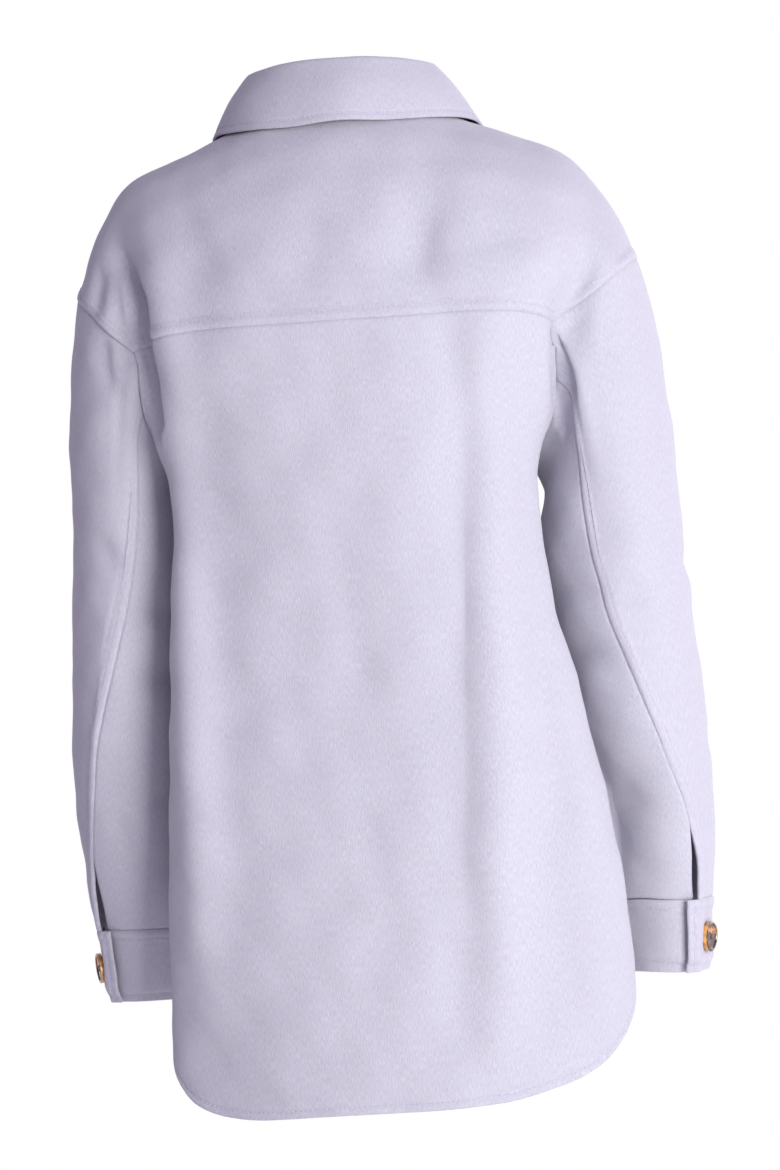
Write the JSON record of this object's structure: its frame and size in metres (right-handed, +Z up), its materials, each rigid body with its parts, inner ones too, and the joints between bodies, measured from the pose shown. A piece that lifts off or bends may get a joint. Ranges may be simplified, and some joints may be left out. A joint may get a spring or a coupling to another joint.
{
  "type": "shirt jacket",
  "caption": "Oversized lilac wool shirt jacket, worn shape with arms down: back yoke, dropped shoulders, pointed collar, buttoned front, slit cuffs and a curved shirt-tail hem.",
  "frame": {"origin": "middle of the neck, level with the seam of the collar on the back yoke", "axes": "+Z up; -Y the way the wearer faces; +X to the wearer's left"},
  "size_m": [0.5264, 0.2963, 0.846],
  "materials": {
    "wool": "brushed double-faced wool, matt",
    "tortoiseshell": "polished tortoiseshell"
  },
  "bodies": {
    "root": {"yoke": "wool", "back": "wool", "front_left": "wool", "front_right": "wool", "sleeve_upper_left": "wool", "sleeve_upper_right": "wool", "sleeve_under_left": "wool", "sleeve_under_right": "wool", "cuff_left": "wool", "cuff_right": "wool", "collar_stand": "wool", "collar_fall": "wool", "button_cuff_left": "tortoiseshell", "button_cuff_right": "tortoiseshell", "button_front_1": "tortoiseshell", "button_front_2": "tortoiseshell", "button_front_3": "tortoiseshell", "button_front_4": "tortoiseshell", "button_front_5": "tortoiseshell"}
  },
  "joints": []
}
